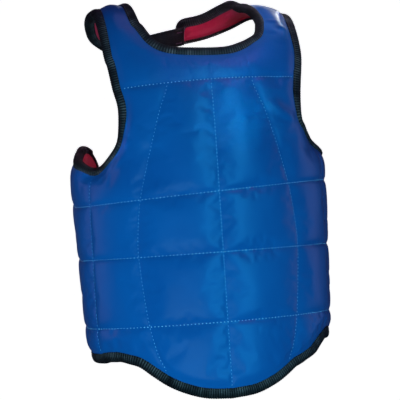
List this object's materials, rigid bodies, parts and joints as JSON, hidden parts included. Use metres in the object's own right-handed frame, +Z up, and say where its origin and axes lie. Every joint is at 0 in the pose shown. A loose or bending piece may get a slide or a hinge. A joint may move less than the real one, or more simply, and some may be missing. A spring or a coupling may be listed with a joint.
{
  "type": "chest protector",
  "caption": "Reversible padded chest protector with quilted front, shoulder straps, side wings closed by elastic bands across the back and a padded band behind the neck.",
  "frame": {"origin": "midway between the two shoulder ridges, level with their crests", "axes": "+Z up, the front of the chest faces -Y, +X is the wearer's left"},
  "size_m": [0.36, 0.2583, 0.5483],
  "materials": {
    "blue_leather": "satin coated leather, blue",
    "red_leather": "satin coated leather, red",
    "foam": "closed-cell foam",
    "knit_tape": "ribbed knit binding tape, black",
    "elastic": "woven elastic, black",
    "hook_tape": "hook tape, black",
    "loop_tape": "loop tape, black"
  },
  "bodies": {
    "front_panel": {"front_cover": "blue_leather", "front_lining": "red_leather", "foam_hem_side_right": "foam", "foam_hem_centre_right": "foam", "foam_hem_centre_left": "foam", "foam_hem_side_left": "foam", "foam_belly_side_right": "foam", "foam_belly_centre_right": "foam", "foam_belly_centre_left": "foam", "foam_belly_side_left": "foam", "foam_rib_side_right": "foam", "foam_rib_centre_right": "foam", "foam_rib_centre_left": "foam", "foam_rib_side_left": "foam", "foam_chest_side_right": "foam", "foam_chest_centre_right": "foam", "foam_chest_centre_left": "foam", "foam_chest_side_left": "foam", "foam_yoke": "foam", "neckline_binding": "knit_tape", "right_armhole_binding": "knit_tape", "left_armhole_binding": "knit_tape", "hem_binding": "knit_tape"},
    "right_wing": {"right_wing_cover": "blue_leather", "right_wing_lining": "red_leather", "right_wing_foam_hem": "foam", "right_wing_foam_belly": "foam", "right_wing_foam_rib": "foam", "right_wing_foam_chest": "foam", "right_wing_binding": "knit_tape", "upper_band_anchor": "elastic", "lower_band_anchor": "elastic"},
    "left_wing": {"left_wing_cover": "blue_leather", "left_wing_lining": "red_leather", "left_wing_foam_hem": "foam", "left_wing_foam_belly": "foam", "left_wing_foam_rib": "foam", "left_wing_foam_chest": "foam", "left_wing_binding": "knit_tape", "upper_loop_patch": "loop_tape", "lower_loop_patch": "loop_tape"},
    "upper_closure": {"upper_band": "elastic", "upper_hook_tab": "hook_tape"},
    "lower_closure": {"lower_band": "elastic", "lower_hook_tab": "hook_tape"},
    "neck_band": {"left_strap_cover": "blue_leather", "left_strap_lining": "red_leather", "left_strap_foam": "foam", "left_strap_binding": "knit_tape", "right_strap_cover": "blue_leather", "right_strap_lining": "red_leather", "right_strap_foam": "foam", "right_strap_binding": "knit_tape", "neck_elastic": "elastic"}
  },
  "joints": [
    {"name": "right_wing_hinge", "type": "hinge", "parent": "front_panel", "child": "right_wing", "pos_m": [-0.16549, -0.04538, -0.32503], "axis": [-0.0006, -0.061, 0.9981], "range_deg": [0, 60]},
    {"name": "left_wing_hinge", "type": "hinge", "parent": "front_panel", "child": "left_wing", "pos_m": [0.16549, -0.04538, -0.32503], "axis": [0.0006, -0.061, 0.9981], "range_deg": [-60, 0]},
    {"name": "upper_band_hinge", "type": "hinge", "parent": "right_wing", "child": "upper_closure", "pos_m": [-0.13637, 0.08436, -0.33117], "axis": [0, 0, 1], "range_deg": [0, 100]},
    {"name": "lower_band_hinge", "type": "hinge", "parent": "right_wing", "child": "lower_closure", "pos_m": [-0.13426, 0.08326, -0.41317], "axis": [0, 0, 1], "range_deg": [0, 100]},
    {"name": "neck_band_hinge", "type": "hinge", "parent": "front_panel", "child": "neck_band", "pos_m": [0, 0, 0.0032], "axis": [0.9988, 0, -0.0499], "range_deg": [0, 70]}
  ],
  "couplings": [
    {"joint": "left_wing_hinge", "follows": "right_wing_hinge", "ratio": -1}
  ]
}
